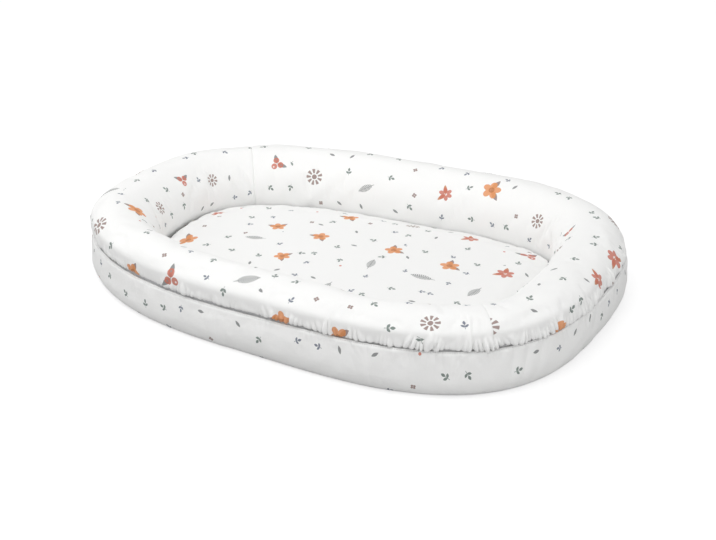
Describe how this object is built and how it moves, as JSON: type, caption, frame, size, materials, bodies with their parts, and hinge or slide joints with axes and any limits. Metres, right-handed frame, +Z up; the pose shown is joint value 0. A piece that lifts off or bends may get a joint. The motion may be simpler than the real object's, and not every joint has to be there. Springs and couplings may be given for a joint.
{
  "type": "infant lounger",
  "caption": "Oval infant nest with a stuffed ring that is gathered along a zip, a plain side band and a crowned pad that lifts out of the well.",
  "frame": {"origin": "on the floor, under the middle of the nest's bounding box", "axes": "+X along the nest towards its wider head end, +Y towards the side that has the zip's slider, +Z up"},
  "size_m": [0.88, 0.6384, 0.119],
  "materials": {
    "cover_cloth": "matt white cotton with a small scattered print of blossoms, berries and leaves",
    "band_cloth": "matt white cotton with a sparse small sprig print",
    "lining_cloth": "thin matt unbleached non-woven",
    "fibre": "white polyester fibre filling",
    "foam": "open-cell foam, cream",
    "elastic": "white woven elastic",
    "zip_tape": "pale grey twill zip tape",
    "zip_nylon": "pale grey nylon coil",
    "zip_metal": "pale grey enamel, satin"
  },
  "bodies": {
    "nest": {"base_panel": "band_cloth", "side_band": "band_cloth", "ring_cover_near": "cover_cloth", "ring_cover_far": "cover_cloth", "well_floor_panel": "band_cloth", "base_wadding": "fibre", "ring_filling": "fibre", "ring_lining_upper": "lining_cloth", "ring_lining_lower": "lining_cloth", "gather_elastic": "elastic", "zip_tape_lower": "zip_tape", "zip_tape_upper": "zip_tape", "zip_coil_lower": "zip_nylon", "zip_coil_upper": "zip_nylon", "zip_stop_start": "zip_nylon", "zip_stop_end": "zip_nylon"},
    "pad": {"pad_cover_top": "cover_cloth", "pad_cover_base": "band_cloth", "pad_core": "foam"},
    "slider": {"zip_slider": "zip_metal"},
    "pull": {"zip_pull": "zip_metal"}
  },
  "joints": [
    {"name": "pad_lift", "type": "slide", "parent": "nest", "child": "pad", "axis": [0, 0, 1], "range_m": [0, 0.2]},
    {"name": "zip_travel", "type": "slide", "parent": "nest", "child": "slider", "axis": [0.9986, 0.052, 0], "range_m": [0, 0.13]},
    {"name": "zip_pull_swing", "type": "hinge", "parent": "slider", "child": "pull", "pos_m": [-0.05081, 0.3078, 0.07], "axis": [0, 0, -1], "range_deg": [0, 175]}
  ]
}
